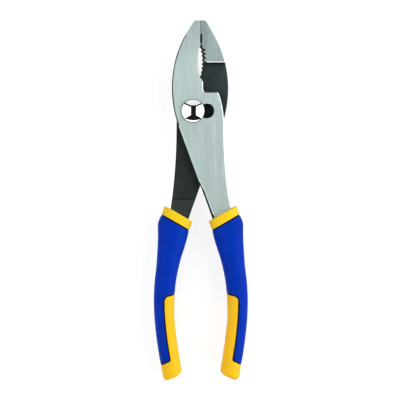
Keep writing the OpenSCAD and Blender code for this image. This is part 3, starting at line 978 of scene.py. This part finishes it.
def buildFloor():
    bm = bmesh.new()
    bmesh.ops.create_grid(bm, x_segments=1, y_segments=1, size=stageLook["floorSize"] / 2)
    bmesh.ops.translate(bm, vec=(0, 0, -stageLook["floorDrop"] * mm), verts=bm.verts[:])
    floor = newPiece("floor", bm)
    material = bpy.data.materials.new("paleFloor")
    material.use_nodes = True
    tree = material.node_tree
    tree.nodes.remove(tree.nodes["Principled BSDF"])
    matte = tree.nodes.new("ShaderNodeBsdfDiffuse")
    matte.inputs["Color"].default_value = (stageLook["floorTone"],) * 3 + (1,)
    glow = tree.nodes.new("ShaderNodeEmission")
    path = tree.nodes.new("ShaderNodeLightPath")
    seen = None
    for label in ("Is Camera Ray", "Is Glossy Ray", "Is Transmission Ray"):
        if seen is None:
            seen = path.outputs[label]
            continue
        both = tree.nodes.new("ShaderNodeMath")
        both.operation = "MAXIMUM"
        tree.links.new(seen, both.inputs[0])
        tree.links.new(path.outputs[label], both.inputs[1])
        seen = both.outputs[0]
    level = tree.nodes.new("ShaderNodeMath")
    level.operation = "MULTIPLY"
    level.inputs[1].default_value = stageLook["floorGlow"]
    tree.links.new(seen, level.inputs[0])
    tree.links.new(level.outputs[0], glow.inputs["Strength"])
    both = tree.nodes.new("ShaderNodeAddShader")
    tree.links.new(matte.outputs[0], both.inputs[0])
    tree.links.new(glow.outputs[0], both.inputs[1])
    tree.links.new(both.outputs[0], tree.nodes["Material Output"].inputs["Surface"])
    floor.data.materials.append(material)


def buildTent():
    # white cloth left, right and behind, a dark gap overhead for the camera and a dark front
    look = tentLook
    world = bpy.data.worlds.new("lightTent")
    world.use_nodes = True
    scene.world = world
    tree = world.node_tree
    background = tree.nodes["Background"]

    def calc(operation, first, second=0.0):
        node = tree.nodes.new("ShaderNodeMath")
        node.operation = operation
        for socket, value in zip(node.inputs, (first, second)):
            if isinstance(value, (int, float)):
                socket.default_value = value
            else:
                tree.links.new(value, socket)
        return node.outputs[0]

    place = tree.nodes.new("ShaderNodeTexCoord")
    lift = tree.nodes.new("ShaderNodeVectorMath")
    lift.operation = "ADD"
    lean = math.radians(cameraLook["fromLeft"])
    lift.inputs[1].default_value = (-math.sin(lean), 0, math.cos(lean))
    tree.links.new(place.outputs["Generated"], lift.inputs[0])
    slope = tree.nodes.new("ShaderNodeVectorMath")
    slope.operation = "NORMALIZE"
    tree.links.new(lift.outputs[0], slope.inputs[0])
    axes = tree.nodes.new("ShaderNodeSeparateXYZ")
    tree.links.new(slope.outputs[0], axes.inputs[0])

    across = calc("SUBTRACT", calc("DIVIDE", axes.outputs["X"], look["edge"]), look["shift"])
    along = calc("DIVIDE", axes.outputs["Y"], look["edge"])
    out = calc("ABSOLUTE", across)
    flatOut = calc("MAXIMUM", out, look["barHalf"])
    backEdge = calc("ADD", calc("MULTIPLY", flatOut, look["backRise"]), look["backStart"])
    frontEdge = calc("ADD", calc("MULTIPLY", out, look["frontRise"]), look["frontStart"])
    back = calc("GREATER_THAN", along, calc("ADD", backEdge, look["seam"]))
    side = calc("GREATER_THAN", out, look["barHalf"])
    side = calc("MULTIPLY", side, calc("LESS_THAN", along, calc("SUBTRACT", backEdge, look["seam"])))
    side = calc("MULTIPLY", side, calc("GREATER_THAN", calc("ADD", along, frontEdge), 0.0))
    toRight = calc("GREATER_THAN", across, 0.0)
    cloth = calc("ADD", calc("MULTIPLY", toRight, look["right"] - look["left"]), look["left"])
    level = calc("MULTIPLY", side, cloth)
    level = calc("MAXIMUM", level, calc("MULTIPLY", back, look["back"]))
    lowEdge = calc("SUBTRACT", calc("MULTIPLY", calc("POWER", out, 2.0), look["lowCurve"]), look["lowEdge"])
    low = calc("LESS_THAN", along, lowEdge)
    level = calc("MAXIMUM", level, calc("MULTIPLY", low, look["front"]))
    level = calc("MAXIMUM", level, look["shade"])
    heading = tree.nodes.new("ShaderNodeSeparateXYZ")
    tree.links.new(place.outputs["Generated"], heading.inputs[0])
    below = calc("LESS_THAN", heading.outputs["Z"], 0.0)
    level = calc("MULTIPLY", level, calc("SUBTRACT", 1.0, calc("MULTIPLY", below, 1 - look["below"])))
    path = tree.nodes.new("ShaderNodeLightPath")
    seen = calc("MULTIPLY", path.outputs["Is Camera Ray"], calc("SUBTRACT", 1.0, level))
    tree.links.new(calc("ADD", level, seen), background.inputs["Strength"])
    background.inputs["Color"].default_value = (1, 1, 1, 1)


def buildCamera():
    look = cameraLook
    camera = bpy.data.cameras.new("camera")
    camera.lens = camera.sensor_width * look["distance"] / (look["wide"] * mm)
    camera.clip_end = look["seesTo"]
    holder = bpy.data.objects.new("camera", camera)
    lean = Matrix.Rotation(math.radians(-look["fromLeft"]), 3, "Y")
    roll = Matrix.Rotation(math.radians(look["roll"]), 3, "Z")
    holder.location = Vector(look["middle"]) * mm + lean @ Vector((0, 0, look["distance"]))
    holder.rotation_euler = (lean @ roll).to_euler()
    scene.collection.objects.link(holder)
    scene.camera = holder


buildFloor()
buildTent()
buildCamera()
scene.view_settings.view_transform = "Standard"
print("stage ready")
